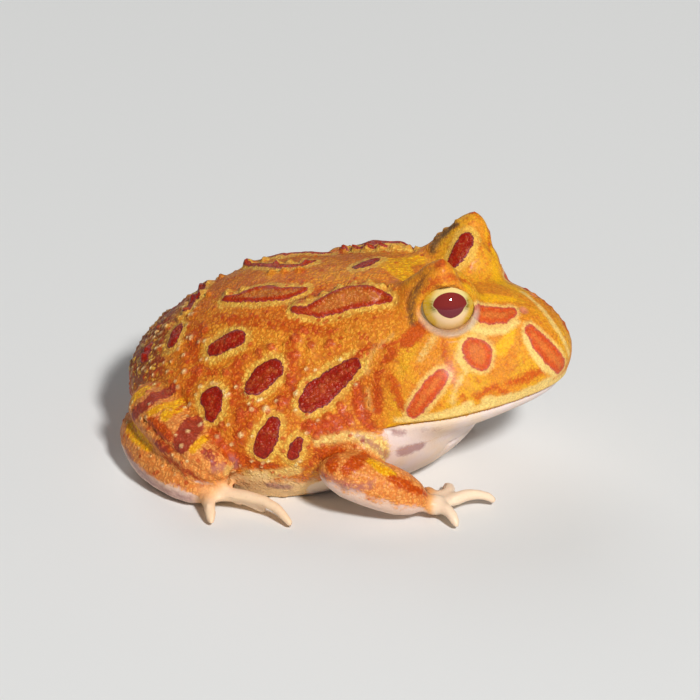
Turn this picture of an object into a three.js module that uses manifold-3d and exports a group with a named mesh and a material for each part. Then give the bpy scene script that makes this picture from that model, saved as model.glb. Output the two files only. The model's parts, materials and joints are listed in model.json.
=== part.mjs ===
// A young albino horned frog, life size, resting on its belly with its head raised.
// Millimetres. The frog faces +X, its left is +Y, and the floor is at Z = 0.
import * as THREE from "three";
import { mergeVertices } from "three/addons/utils/BufferGeometryUtils.js";
import Module from "manifold-3d";

const wasm = await Module();
wasm.setup();

// Driving dimensions
const bodyHalfWidth = 18.3; // at the flanks
const bodyRear = -24.2;
const headHalfWidth = 12.7; // at the corners of the mouth
const snoutTip = 26.0;
const eyeRadius = 3.2;
const eyeAt = { x: 13.0, y: 5.0, z: 21.6 };
const lidsFace = { x: 0.3, y: 0.9, z: 0.3 }; // direction of the opening between the lids
const lidOpening = { width: 7.2, height: 5.7 };
const lidThickness = 0.5;
const hornTip = { x: 12.9, y: 6.6, z: 27.7 };
const hornBase = 25.2; // height where the horn leaves the eyelid
const nostrilAt = { x: 21.3, y: 2.0 };
const nostrilRadius = 0.42;
const mouthCorner = { x: 9.2, z: 9.9 };
const mouthMiddle = { x: 18.0, z: 11.4 };
const mouthFront = { x: 25.0, z: 12.0 };
const neckTop = { x: 7.3, z: 24.0 };
const neckBottom = { x: 8.5, z: 0.0 };
const gap = 0.3; // between touching pieces
const fleshSoftness = 1.1; // how widely the masses of flesh blend
const trunkDetail = 11;
const headDetail = 12;
const hornDetail = 4;

const { degToRad, clamp, lerp, smoothstep } = THREE.MathUtils;

// Solids from closed geometries, and back
function solidOf(geometry) {
  for (const name of Object.keys(geometry.attributes)) {
    if (name !== "position") geometry.deleteAttribute(name);
  }
  const merged = mergeVertices(geometry, 1e-4);
  return new wasm.Manifold(
    new wasm.Mesh({
      numProp: 3,
      vertProperties: new Float32Array(merged.attributes.position.array),
      triVerts: new Uint32Array(merged.index.array),
    }),
  );
}

function geometryOf(solid) {
  const mesh = solid.getMesh();
  const positions = new Float32Array(mesh.numVert * 3);
  for (let i = 0; i < mesh.numVert; i++) {
    const start = i * mesh.numProp;
    positions.set(mesh.vertProperties.subarray(start, start + 3), i * 3);
  }
  const geometry = new THREE.BufferGeometry();
  geometry.setAttribute("position", new THREE.BufferAttribute(positions, 3));
  geometry.setIndex(new THREE.BufferAttribute(new Uint32Array(mesh.triVerts), 1));
  geometry.computeVertexNormals();
  return geometry;
}

const largestPiece = (solid) => solid.decompose().reduce((a, b) => (b.volume() > a.volume() ? b : a));
const joined = (solids) => solids.reduce((a, b) => a.add(b));
const cutBy = (solid, cutters) => cutters.reduce((a, b) => a.subtract(b), solid);
const sides = [
  { name: "right", sign: -1 },
  { name: "left", sign: 1 },
];
const onBothSides = (make) => sides.map(({ sign }) => make(sign));

// A mass is an ellipsoid of flesh. Its reach is negative inside it and about the distance outside.
function mass(at, size, noseUp = 0) {
  const centre = new THREE.Vector3(...at);
  const radii = new THREE.Vector3(...size);
  const turn = new THREE.Matrix4().makeRotationY(degToRad(noseUp));
  const q = new THREE.Vector3();
  return (p) => {
    q.copy(p).sub(centre).applyMatrix4(turn);
    const k0 = Math.hypot(q.x / radii.x, q.y / radii.y, q.z / radii.z);
    const k1 = Math.hypot(q.x / radii.x ** 2, q.y / radii.y ** 2, q.z / radii.z ** 2);
    return k1 < 1e-9 ? -Math.min(...size) : (k0 * (k0 - 1)) / k1;
  };
}

// A rod with round ends that narrows from one end to the other
function taper(from, to, fromRadius, toRadius) {
  const a = new THREE.Vector3(...from);
  const along = new THREE.Vector3(...to).sub(a);
  const q = new THREE.Vector3();
  return (p) => {
    q.copy(p).sub(a);
    const t = clamp(q.dot(along) / along.lengthSq(), 0, 1);
    return q.addScaledVector(along, -t).length() - lerp(fromRadius, toRadius, t);
  };
}

function blended(reaches, softness) {
  return (p) => {
    let sum = 0;
    for (const reach of reaches) sum += Math.exp(-reach(p) / softness);
    return -softness * Math.log(sum);
  };
}

// Flesh of the trunk, the head and the upper eyelids
const belly = mass([bodyRear + 20.0, 0, 7.2], [19.6, bodyHalfWidth - 1.0, 8.4]);
const back = mass([-3.6, 0, 12.0], [16.8, 12.2, 9.6], 9);
const rump = mass([bodyRear + 9.0, 0, 7.2], [8.0, 11.0, 6.8]);
const nape = mass([5.2, 0, 14.8], [8.4, 10.4, 8.2]);
const flanks = onBothSides((sign) => mass([-6.0, sign * 8.6, 3.8], [9.0, 7.8, 5.2]));
const chest = mass([2.6, 0, 6.6], [9.0, 14.2, 6.8]);
const skull = mass([12.8, 0, 16.6], [8.4, 8.8, 4.8]);
const cheeks = onBothSides((sign) => mass([10.2, sign * 6.4, 13.6], [7.6, 5.6, 5.4]));
const upperLip = mass([11.2, 0, 12.8], [12.8, headHalfWidth - 1.0, 3.2], 5);
const snout = mass([18.6, 0, 15.9], [snoutTip - 19.2, 5.8, 5.1], -14);
const browRadius = eyeRadius + gap + lidThickness - 0.15; // the blend adds a little
const brows = onBothSides((sign) =>
  taper([9.0, sign * 4.8, 19.6], [eyeAt.x - 0.2, sign * eyeAt.y, eyeAt.z], 2.6, browRadius),
);
const jaw = mass([11.2, 0, 10.0], [11.2, headHalfWidth - 1.6, 2.6], 9);
const throat = mass([6.8, 0, 6.2], [5.6, 9.4, 4.6]);
const flesh = blended(
  [belly, back, rump, ...flanks, nape, chest, skull, ...cheeks, upperLip, snout, jaw, throat],
  fleshSoftness,
);
// The eyelid rises to a blunt point, steep in front, with a longer ridge behind.
// Each rod runs from its foot to its top, and gets thinner.
const hornRods = [
  { foot: { x: 0.4, y: -1.4, z: -5.3, thick: 2.3 }, top: { x: 0.0, y: -0.3, z: -2.1, thick: 1.4 } },
  { foot: { x: -3.8, y: -1.4, z: -5.3, thick: 1.6 }, top: { x: -1.3, y: -0.3, z: -2.1, thick: 0.9 } },
  { foot: { x: -0.3, y: -0.3, z: -2.1, thick: 1.2 }, top: { x: 0.0, y: 0.0, z: -0.4, thick: 0.2 } },
];
const fromHornTip = ({ x, y, z }, sign) => [hornTip.x + x, sign * (hornTip.y + y), hornTip.z + z];
const horns = hornRods.flatMap(({ foot, top }) =>
  onBothSides((sign) => taper(fromHornTip(foot, sign), fromHornTip(top, sign), foot.thick, top.thick)),
);
const lidSoftness = 0.5;
const bodyReach = blended([flesh, ...brows, ...horns], lidSoftness);

// The outermost point of the flesh along a ray, or where it is a level outside the flesh
function fleshPoint(centre, ray, level = 0) {
  const farAway = 45;
  const stride = 0.7;
  const p = new THREE.Vector3();
  const reachAt = (distance) => bodyReach(p.copy(centre).addScaledVector(ray, distance)) - level;
  let outer = farAway;
  let inner = outer;
  while (inner > stride && reachAt(inner) > 0) {
    outer = inner;
    inner -= Math.max(stride, 0.6 * reachAt(inner));
  }
  for (let halving = 0; halving < 14; halving++) {
    const middle = (inner + outer) / 2;
    if (reachAt(middle) > 0) outer = middle;
    else inner = middle;
  }
  return p.copy(centre).addScaledVector(ray, inner);
}

const onTop = (x, y, rise = 0) =>
  fleshPoint(new THREE.Vector3(x, y, 0), new THREE.Vector3(0, 0, 1)).add(new THREE.Vector3(0, 0, rise));

// A ball whose points move along their rays to the outside of the flesh
function fleshAround(at, detail, level = 0) {
  const centre = new THREE.Vector3(...at);
  const sphere = new THREE.IcosahedronGeometry(1, detail);
  const position = sphere.attributes.position;
  const ray = new THREE.Vector3();
  for (let i = 0; i < position.count; i++) {
    ray.fromBufferAttribute(position, i);
    const p = fleshPoint(centre, ray, level);
    position.setXYZ(i, p.x, p.y, p.z);
  }
  return solidOf(sphere);
}

// A limb or digit: the rings of a ball moved along a curve, with round ends
function limb(points, radii, { flat = 1, around = 10, rings = 9, grow = 0 } = {}) {
  const curve = new THREE.CatmullRomCurve3(
    points.map((p) => new THREE.Vector3(...p)),
    false,
    "centripetal",
  );
  const length = curve.getLength();
  const radiusAt = (t) => {
    const place = t * (radii.length - 1);
    const k = Math.min(Math.floor(place), radii.length - 2);
    return lerp(radii[k], radii[k + 1], smoothstep(place - k, 0, 1)) + grow;
  };
  const startRound = Math.min(0.45, radiusAt(0) / length);
  const endRound = Math.min(0.45, radiusAt(1) / length);
  const sphere = new THREE.SphereGeometry(1, around, rings);
  const position = sphere.attributes.position;
  const up = new THREE.Vector3(0, 0, 1);
  const local = new THREE.Vector3();
  for (let i = 0; i < position.count; i++) {
    local.fromBufferAttribute(position, i);
    const t = clamp((1 + local.y) / 2, 0, 1);
    const tangent = curve.getTangentAt(t);
    const across = new THREE.Vector3().crossVectors(tangent, up).normalize();
    const rise = new THREE.Vector3().crossVectors(across, tangent);
    let r = radiusAt(t);
    if (t < startRound) r *= Math.sqrt(1 - (1 - t / startRound) ** 2);
    if (t > 1 - endRound) r *= Math.sqrt(Math.max(0, 1 - (1 - (1 - t) / endRound) ** 2));
    const ring = Math.hypot(local.x, local.z);
    const cos = ring < 1e-6 ? 0 : local.x / ring;
    const sin = ring < 1e-6 ? 0 : local.z / ring;
    const p = curve
      .getPointAt(t)
      .addScaledVector(across, cos * r)
      .addScaledVector(rise, sin * r * flat);
    position.setXYZ(i, p.x, p.y, p.z);
  }
  return solidOf(sphere);
}

// Cutters
const farSide = 60;

// A block whose near face runs through two points of the side view, to the front or to the rear
function blockBeyond(top, bottom, towards, offset) {
  const lean = Math.atan2(bottom.x - top.x, top.z - bottom.z);
  const geometry = new THREE.BoxGeometry(farSide, 2 * farSide, 3 * farSide);
  geometry.translate(towards * (farSide / 2 + offset), 0, 0);
  geometry.rotateY(-lean);
  geometry.translate((top.x + bottom.x) / 2, 0, (top.z + bottom.z) / 2);
  return solidOf(geometry);
}

const inFrontOfNeck = blockBeyond(neckTop, neckBottom, 1, -gap / 2);
const behindNeck = blockBeyond(neckTop, neckBottom, -1, -gap / 2);

const floorBlock = (() => {
  const geometry = new THREE.BoxGeometry(2 * farSide, 2 * farSide, farSide);
  geometry.translate(0, 0, -farSide / 2);
  return solidOf(geometry);
})();

// All that lies above or below the line of the mouth, as a thick sheet across the head
function mouthBlock(towards) {
  const edge = (towards * gap) / 2;
  const line = new THREE.SplineCurve([
    new THREE.Vector2(mouthCorner.x - 12, mouthCorner.z - 1.8),
    new THREE.Vector2(mouthCorner.x, mouthCorner.z),
    new THREE.Vector2(mouthMiddle.x, mouthMiddle.z),
    new THREE.Vector2(mouthFront.x, mouthFront.z),
    new THREE.Vector2(mouthFront.x + 6, mouthFront.z - 0.6),
  ]).getPoints(20);
  const outline = line.map((p) => new THREE.Vector2(p.x, p.y - edge));
  outline.push(new THREE.Vector2(outline.at(-1).x, towards * farSide));
  outline.push(new THREE.Vector2(outline[0].x, towards * farSide));
  const geometry = new THREE.ExtrudeGeometry(new THREE.Shape(outline), {
    depth: 2 * farSide,
    bevelEnabled: false,
  });
  geometry.translate(0, 0, -farSide);
  geometry.rotateX(Math.PI / 2);
  return solidOf(geometry);
}

// A horizontal parting through both horns
function hornBlock(towards) {
  const geometry = new THREE.BoxGeometry(farSide, farSide, farSide);
  geometry.translate(0, 0, hornBase + towards * (farSide / 2 - gap / 2));
  return solidOf(geometry);
}

// All that belongs to one side's horn alone
const hornBox = { length: 12, width: 10, height: 20 };
function boxOfHorn(sign) {
  const geometry = new THREE.BoxGeometry(hornBox.length, hornBox.width, hornBox.height);
  geometry.translate(hornTip.x, sign * (hornBox.width / 2 + gap), hornBase);
  return solidOf(geometry);
}

// A cone that widens along a direction, for the opening between the lids
function cone(at, direction, { width, height, narrow, wide, depth, around = 20 }) {
  const geometry = new THREE.CylinderGeometry(wide, narrow, depth, around);
  geometry.translate(0, depth / 2, 0);
  geometry.scale(width / 2, 1, height / 2);
  const along = new THREE.Vector3(direction.x, direction.y, direction.z).normalize();
  const level = new THREE.Vector3(0, 0, 1).cross(along).normalize();
  const rise = new THREE.Vector3().crossVectors(level, along);
  geometry.applyMatrix4(new THREE.Matrix4().makeBasis(level, along, rise));
  geometry.translate(at.x, at.y, at.z);
  return solidOf(geometry);
}

function ball(at, radius, around, rings) {
  const geometry = new THREE.SphereGeometry(radius, around, rings);
  geometry.translate(at.x, at.y, at.z);
  return solidOf(geometry);
}

const mirrored = (point, sign) => ({ x: point.x, y: sign * point.y, z: point.z });

// Limbs, given for the left side. A place is [forward, outward, up].
const limbShapes = {
  upper_arm: { points: [[8.4, 9.0, 7.8], [6.6, 12.6, 7.2], [4.4, 16.0, 6.6]], radii: [2.4, 2.4, 2.0] },
  forearm: {
    points: [[2.4, 18.3, 6.5], [4.6, 17.9, 6.1], [7.6, 16.9, 4.9], [10.6, 15.8, 3.5], [13.8, 14.7, 2.0]],
    radii: [1.5, 2.6, 2.8, 2.5, 1.4],
  },
  thigh: { points: [[-15.0, 5.6, 7.4], [-12.0, 11.4, 6.5], [-8.8, 15.4, 5.0]], radii: [3.8, 3.8, 2.8] },
  shank: {
    points: [[-7.6, 18.9, 4.3], [-12.8, 16.9, 6.1], [-17.1, 12.8, 7.2], [-20.5, 8.5, 7.4]],
    radii: [1.9, 2.9, 3.1, 2.8],
  },
};

const palm = {
  points: [[13.0, 14.8, 1.9], [15.8, 13.4, 1.5]],
  radii: [1.5, 1.6],
  flat: 0.8,
  rings: 7,
};
const fingers = [
  { points: [[14.2, 13.6, 1.5], [13.0, 11.0, 1.5], [11.8, 9.2, 0.45]], radii: [0.95, 0.8, 0.6] },
  { points: [[15.0, 13.2, 1.5], [14.9, 10.0, 1.6], [13.7, 7.1, 0.45]], radii: [0.95, 0.85, 0.6] },
  {
    points: [[15.4, 13.4, 1.6], [17.4, 11.0, 1.9], [19.2, 9.8, 1.3], [20.0, 9.3, 0.4]],
    radii: [1.0, 0.9, 0.75, 0.6],
  },
  { points: [[14.6, 14.4, 1.7], [16.3, 15.2, 1.7], [17.7, 16.5, 0.45]], radii: [0.95, 0.85, 0.6] },
];
const tarsus = {
  points: [[-21.5, 7.2, 4.4], [-19.4, 11.8, 3.3], [-16.0, 15.8, 2.7], [-12.6, 17.9, 2.2], [-9.2, 18.8, 1.8]],
  radii: [2.3, 2.7, 2.6, 2.2, 1.4],
  rings: 12,
};
const toes = [
  { points: [[-11.4, 17.6, 1.5], [-9.8, 17.2, 1.3], [-8.4, 17.4, 0.45]], radii: [0.8, 0.75, 0.55] },
  { points: [[-10.6, 17.9, 1.6], [-8.2, 17.6, 1.5], [-6.2, 17.8, 0.45]], radii: [0.85, 0.8, 0.6] },
  { points: [[-10.2, 18.3, 1.7], [-6.6, 18.4, 1.7], [-3.2, 18.7, 0.45]], radii: [0.95, 0.85, 0.6] },
  {
    points: [[-10.0, 18.9, 1.8], [-6.0, 19.1, 2.3], [-2.2, 19.8, 1.9], [0.4, 21.2, 0.4]],
    radii: [1.1, 0.95, 0.8, 0.6],
    rings: 9,
  },
  { points: [[-10.0, 19.4, 1.7], [-9.0, 21.4, 1.6], [-8.2, 23.3, 0.45]], radii: [1.0, 0.85, 0.65] },
];

// The left arm is drawn back under the chest, the more the nearer to the hand
const armTuck = { back: 7.6, inward: 0.6, from: 3.0, to: 14.0 };

function placed([x, y, z], sign, isArm) {
  const share = isArm && sign > 0 ? clamp((x - armTuck.from) / (armTuck.to - armTuck.from), 0, 1) : 0;
  return [x - share * armTuck.back, sign * (y - share * armTuck.inward), z];
}

function limbSolid(shape, sign, grow = 0) {
  const isArm = shape.points[0][0] > 0;
  const points = shape.points.map((point) => placed(point, sign, isArm));
  return limb(points, shape.radii, { ...shape, grow });
}

function handSolid(core, digits, sign, grow = 0) {
  const digit = (shape) => limbSolid({ around: 6, rings: 7, ...shape }, sign, grow);
  return joined([limbSolid(core, sign, grow), ...digits.map(digit)]);
}

// Raised welts along the back, sunk into it
const welts = [
  {
    points: [[-13.4, 3.4], [-10.6, 4.2], [-7.4, 3.8], [-4.4, 4.2]],
    radii: [1.0, 1.2, 0.9, 1.3, 1.0, 1.2, 0.7],
    rise: -0.6,
  },
  {
    points: [[-4.2, 7.2], [-1.2, 6.9], [2.4, 5.8], [6.2, 5.0]],
    radii: [0.9, 1.2, 1.1, 1.4, 1.2, 1.3, 0.9],
    rise: 0.0,
  },
];
const weltSolid = ({ points, radii, rise }, sign) =>
  limb(
    points.map(([x, y]) => onTop(x, sign * y, rise).toArray()),
    radii,
    { flat: 0.75, around: 8, rings: 14 },
  );

// The same fraction each time for a number
function seededRandom(n) {
  const value = Math.sin(n * 127.1 + 11.7) * 43758.5;
  return value - Math.floor(value);
}

// Larger warts over the flanks and the rump, clear of the limbs
const wartCount = 46;
const wartSizes = { small: 0.4, large: 0.7 };
const wartSunk = 0.35; // share of its radius
const wartZone = { lowest: 11.0, highest: 17.5, rear: -24, front: 2 };

function wartSolids(centreAt) {
  const centre = new THREE.Vector3(...centreAt);
  const warts = [];
  for (let seed = 1; warts.length < wartCount; seed++) {
    const height = lerp(-0.1, 0.9, seededRandom(3 * seed));
    const turn = lerp(0, 2 * Math.PI, seededRandom(3 * seed + 1));
    const level = Math.sqrt(1 - height ** 2);
    const ray = new THREE.Vector3(level * Math.cos(turn), level * Math.sin(turn), height);
    const p = fleshPoint(centre, ray);
    const { lowest, highest, rear, front } = wartZone;
    if (p.z < lowest || p.z > highest || p.x < rear || p.x > front) continue;
    const radius = lerp(wartSizes.small, wartSizes.large, seededRandom(3 * seed + 2));
    warts.push(ball(p.addScaledVector(ray, -wartSunk * radius), radius, 6, 5));
  }
  return warts;
}

// Materials
const finish = (name, color, roughness) =>
  new THREE.MeshStandardMaterial({ name, color, roughness, metalness: 0 });
const skinFinish = finish("skin", "#e39a2e", 0.45);
const paleFinish = finish("pale_skin", "#ecd8cc", 0.5);
const hornFinish = finish("horn_skin", "#c8502a", 0.5);
const eyeFinish = finish("eye", "#8a2a2a", 0.1);

const frog = new THREE.Group();
function add(name, solid, material) {
  const mesh = new THREE.Mesh(geometryOf(largestPiece(solid)), material);
  mesh.name = name;
  frog.add(mesh);
}

// The flesh seen from the middle of the trunk and of the head, at the surface and a gap outside it
const trunkCentre = [-4, 0, 9];
const headCentre = [11.5, 0, 14.8];
const trunkFlesh = joined([
  fleshAround(trunkCentre, trunkDetail),
  ...welts.flatMap((welt) => onBothSides((sign) => weltSolid(welt, sign))),
  ...wartSolids(trunkCentre),
]).subtract(floorBlock);
const headFlesh = fleshAround(headCentre, headDetail).subtract(floorBlock);
const clearOfTrunk = fleshAround(trunkCentre, trunkDetail, gap).subtract(inFrontOfNeck);
const clearOfHead = fleshAround(headCentre, headDetail, gap).subtract(behindNeck);

const thighs = sides.map(({ sign }) => limbSolid(limbShapes.thigh, sign).subtract(floorBlock));
const upperArms = sides.map(({ sign }) => limbSolid(limbShapes.upper_arm, sign));
const clearOfRoots = sides.map(({ sign }) =>
  limbSolid(limbShapes.thigh, sign, gap).add(limbSolid(limbShapes.upper_arm, sign, gap)),
);

add("trunk", cutBy(trunkFlesh, [inFrontOfNeck, ...clearOfRoots]), skinFinish);

const eyeGrid = [18, 12]; // segments around, and rings
const sockets = sides.map(({ sign }) => ball(mirrored(eyeAt, sign), eyeRadius + gap, ...eyeGrid));
const lids = sides.map(({ sign }) =>
  cone(mirrored(eyeAt, sign), mirrored(lidsFace, sign), {
    width: lidOpening.width,
    height: lidOpening.height,
    narrow: 0.72,
    wide: 1.35,
    depth: 2.0 * eyeRadius,
  }),
);
const nostrils = sides.map(({ sign }) =>
  ball(onTop(nostrilAt.x, sign * nostrilAt.y), nostrilRadius, 8, 6),
);
const headCutters = [behindNeck, mouthBlock(-1), hornBlock(1), ...sockets, ...lids, ...nostrils];
add("head", cutBy(headFlesh, [...headCutters, ...clearOfRoots]), skinFinish);
add("lower_jaw", cutBy(headFlesh, [behindNeck, mouthBlock(1), ...clearOfRoots]), paleFinish);

for (const [index, { name, sign }] of sides.entries()) {
  const hornFlesh = fleshAround([hornTip.x, sign * (hornTip.y - 0.6), hornBase - 1.0], hornDetail);
  add(`horn_${name}`, hornFlesh.intersect(boxOfHorn(sign)).subtract(hornBlock(-1)), hornFinish);
  add(`eye_${name}`, ball(mirrored(eyeAt, sign), eyeRadius, ...eyeGrid), eyeFinish);

  const thigh = thighs[index];
  const upperArm = upperArms[index];
  const roots = clearOfRoots[index];
  const body = [clearOfTrunk, clearOfHead, roots, floorBlock];
  const forearm = cutBy(limbSolid(limbShapes.forearm, sign), body);
  const shank = cutBy(limbSolid(limbShapes.shank, sign), body);
  const hand = cutBy(handSolid(palm, fingers, sign), [...body, limbSolid(limbShapes.forearm, sign, gap)]);
  const foot = cutBy(handSolid(tarsus, toes, sign), [...body, limbSolid(limbShapes.shank, sign, gap)]);
  add(`upper_arm_${name}`, upperArm, skinFinish);
  add(`forearm_${name}`, forearm, skinFinish);
  add(`hand_${name}`, hand, paleFinish);
  add(`thigh_${name}`, thigh, skinFinish);
  add(`shank_${name}`, shank, skinFinish);
  add(`foot_${name}`, foot, paleFinish);
}

// The origin is the middle of the footprint, on the floor
const footprint = new THREE.Box3().setFromObject(frog);
const middle = footprint.getCenter(new THREE.Vector3());
frog.position.set(-middle.x, -middle.y, -footprint.min.z);

export default frog;
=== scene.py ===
import json
import math
import random
from functools import partial

import bpy
import numpy as np
from mathutils import Matrix, Vector, noise
from mathutils.bvhtree import BVHTree
from mathutils.kdtree import KDTree

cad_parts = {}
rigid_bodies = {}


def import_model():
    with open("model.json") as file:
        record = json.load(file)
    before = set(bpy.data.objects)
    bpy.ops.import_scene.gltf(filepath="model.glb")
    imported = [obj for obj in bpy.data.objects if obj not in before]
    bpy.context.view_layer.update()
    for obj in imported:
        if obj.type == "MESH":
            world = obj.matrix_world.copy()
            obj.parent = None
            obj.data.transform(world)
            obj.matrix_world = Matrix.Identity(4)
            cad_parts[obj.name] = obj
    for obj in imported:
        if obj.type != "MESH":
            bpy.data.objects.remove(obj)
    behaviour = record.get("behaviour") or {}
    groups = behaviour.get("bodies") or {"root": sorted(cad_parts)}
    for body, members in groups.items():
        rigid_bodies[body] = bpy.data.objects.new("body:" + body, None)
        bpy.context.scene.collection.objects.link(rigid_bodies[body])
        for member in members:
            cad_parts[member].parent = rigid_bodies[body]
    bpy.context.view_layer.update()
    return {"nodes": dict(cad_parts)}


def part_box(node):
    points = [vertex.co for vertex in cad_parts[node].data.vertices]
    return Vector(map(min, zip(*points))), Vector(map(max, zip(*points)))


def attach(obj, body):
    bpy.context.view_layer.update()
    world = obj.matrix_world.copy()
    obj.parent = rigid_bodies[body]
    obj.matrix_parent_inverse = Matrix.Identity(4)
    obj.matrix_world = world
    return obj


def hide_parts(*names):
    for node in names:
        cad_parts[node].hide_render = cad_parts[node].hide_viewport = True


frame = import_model()
print("frame loaded")

# Places are worked out in millimetres in the frog's own frame and turned to metres at the end
mm = 0.001
eyeMiddleX = 13.0  # of the eyes, in front of the frog's own origin
eyeLow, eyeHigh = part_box("eye_right")
frogOrigin = Vector(((eyeLow.x + eyeHigh.x) / 2 - eyeMiddleX * mm, 0, 0))


def deselectAll():
    if bpy.context.object and bpy.context.object.mode != "OBJECT":
        bpy.ops.object.mode_set(mode="OBJECT")
    bpy.ops.object.select_all(action="DESELECT")


def pick(piece):
    deselectAll()
    piece.select_set(True)
    bpy.context.view_layer.objects.active = piece


def modify(piece, kind, **settings):
    pick(piece)
    modifier = piece.modifiers.new(kind.lower(), kind)
    for name, value in settings.items():
        setattr(modifier, name, value)
    bpy.ops.object.modifier_apply(modifier=modifier.name)


# sRGB hex to linear
def toLinear(hexColour):
    values = [int(hexColour[i : i + 2], 16) / 255 for i in (1, 3, 5)]
    return [v / 12.92 if v <= 0.04045 else ((v + 0.055) / 1.055) ** 2.4 for v in values] + [1.0]


# Kinds of node: Blender's name, settings, the sockets its values go to in order, the socket it gives
nodeKinds = {
    "place": ("ShaderNodeTexCoord", {}, (), "Object"),
    "eyeMap": ("ShaderNodeUVMap", {"uv_map": "eye"}, (), "UV"),
    "attribute": ("ShaderNodeAttribute", {}, (), "Fac"),
    "cells": ("ShaderNodeTexVoronoi", {}, ("Vector", "Scale"), "Distance"),
    "noise": ("ShaderNodeTexNoise", {}, ("Vector", "Scale", "Detail"), "Fac"),
    "splitColour": ("ShaderNodeSeparateColor", {}, ("Color",), 0),
    "splitPlace": ("ShaderNodeSeparateXYZ", {}, ("Vector",), 0),
    "joinPlace": ("ShaderNodeCombineXYZ", {}, ("X", "Y"), 0),
    "movePlace": ("ShaderNodeVectorMath", {"operation": "MULTIPLY_ADD"}, (0, 1, 2), 0),
    "brighten": ("ShaderNodeHueSaturation", {}, ("Value", "Color"), 0),
    "bump": ("ShaderNodeBump", {}, ("Height", "Distance", "Strength"), "Normal"),
    "mix": ("ShaderNodeMix", {"data_type": "RGBA"}, (0, 6, 7), 2),
    "ease": ("ShaderNodeMapRange", {"interpolation_type": "SMOOTHSTEP"}, range(5), 0),
    "plus": ("ShaderNodeMath", {"operation": "ADD"}, (0, 1), 0),
    "minus": ("ShaderNodeMath", {"operation": "SUBTRACT"}, (0, 1), 0),
    "times": ("ShaderNodeMath", {"operation": "MULTIPLY"}, (0, 1), 0),
    "over": ("ShaderNodeMath", {"operation": "DIVIDE"}, (0, 1), 0),
    "lesser": ("ShaderNodeMath", {"operation": "MINIMUM"}, (0, 1), 0),
    "greater": ("ShaderNodeMath", {"operation": "MAXIMUM"}, (0, 1), 0),
    "unsigned": ("ShaderNodeMath", {"operation": "ABSOLUTE"}, (0,), 0),
    "root": ("ShaderNodeMath", {"operation": "SQRT"}, (0,), 0),
    "direction": ("ShaderNodeMath", {"operation": "ARCTAN2"}, (0, 1), 0),
}


def addNode(tree, kind, *values, **settings):
    blenderName, kindSettings, sockets, given = nodeKinds[kind]
    node = tree.nodes.new(blenderName)
    for name, value in {**kindSettings, **settings}.items():
        setattr(node, name, value)
    for socket, value in zip(sockets, values):
        if isinstance(value, bpy.types.NodeSocket):
            tree.links.new(value, node.inputs[socket])
        else:
            node.inputs[socket].default_value = value
    return node.outputs[given]


# The add given back is addNode for the material's own tree
def startMaterial(name, hexColours):
    material = bpy.data.materials.new(name)
    material.use_nodes = True
    tree = material.node_tree
    colours = {key: toLinear(value) for key, value in hexColours.items()}
    return material, tree.nodes["Principled BSDF"], colours, partial(addNode, tree)


# Camera
view = {
    "azimuth": 16.5,  # degrees round from the frog's right side
    "elevation": 25.5,
    "distance": 800.0,  # mm
    "pixelsPerMm": 9.0,
    "originPixel": (345, 447),  # where the frog's own origin falls in the frame
    "frame": 700,
    "sensor": 36,
    "clip": (0.05, 20),  # m
}
turn, tilt = math.radians(view["azimuth"]), math.radians(view["elevation"])
toCamera = Vector((math.sin(turn) * math.cos(tilt), -math.cos(turn) * math.cos(tilt), math.sin(tilt)))
screenRight = Vector((math.cos(turn), math.sin(turn), 0))
screenUp = Vector((-math.sin(turn) * math.sin(tilt), math.cos(turn) * math.sin(tilt), math.cos(tilt)))


# Place in mm on the plane through the frog's origin that faces the camera
def onAimPlane(u, v):
    across = (u - view["originPixel"][0]) / view["pixelsPerMm"]
    down = (v - view["originPixel"][1]) / view["pixelsPerMm"]
    return screenRight * across - screenUp * down


frameMiddle = view["frame"] / 2
cameraPlace = onAimPlane(frameMiddle, frameMiddle) + toCamera * view["distance"]


def makeCamera():
    data = bpy.data.cameras.new("camera")
    data.sensor_width = view["sensor"]
    data.lens = view["pixelsPerMm"] * view["distance"] / view["frame"] * data.sensor_width
    data.clip_start, data.clip_end = view["clip"]
    camera = bpy.data.objects.new("camera", data)
    bpy.context.scene.collection.objects.link(camera)
    turned = Matrix((screenRight, screenUp, toCamera)).transposed()
    camera.matrix_world = Matrix.Translation(cameraPlace * mm + frogOrigin) @ turned.to_4x4()
    bpy.context.scene.camera = camera


makeCamera()

# Skin: one surface over all the flesh
eyeNodes = ("eye_right", "eye_left")
fleshNodes = [name for name in sorted(frame["nodes"]) if name not in eyeNodes]
skinSizes = {
    "reachOut": 0.21,  # mm, enough to close the 0.3 mm partings
    "voxel": 0.33,  # mm, keeps the skin under 200,000 triangles
    "smoothTurns": 14,
    "broadTurns": 36,  # on the trunk, the jaw and the limbs as well
    "fineAroundEye": 5.0,  # the mesh is twice as fine this near to the middle of an eye
    "fineAtMouth": 0.8,  # and this near to the line of the mouth
    "merge": 0.002,  # mm
    "hornKeeps": 0.7,  # share of the first smoothing that the horns are spared
    "afterFine": 2,  # turns of smoothing once the mesh is finer
}


def makeSkin():
    copies = []
    for name in fleshNodes:
        copy = bpy.data.objects.new("flesh", frame["nodes"][name].data.copy())
        bpy.context.scene.collection.objects.link(copy)
        copies.append(copy)
    deselectAll()
    for copy in copies:
        copy.select_set(True)
    bpy.context.view_layer.objects.active = copies[0]
    bpy.ops.object.join()
    skin = copies[0]
    skin.name = skin.data.name = "skin"
    bpy.ops.object.mode_set(mode="EDIT")
    bpy.ops.mesh.select_all(action="SELECT")
    bpy.ops.mesh.remove_doubles(threshold=skinSizes["merge"] * mm)
    bpy.ops.object.mode_set(mode="OBJECT")
    modify(skin, "DISPLACE", strength=skinSizes["reachOut"] * mm, mid_level=0)
    modify(skin, "REMESH", mode="VOXEL", voxel_size=skinSizes["voxel"] * mm)
    keepOutermost(skin)
    skin.data.materials.clear()
    return skin


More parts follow.
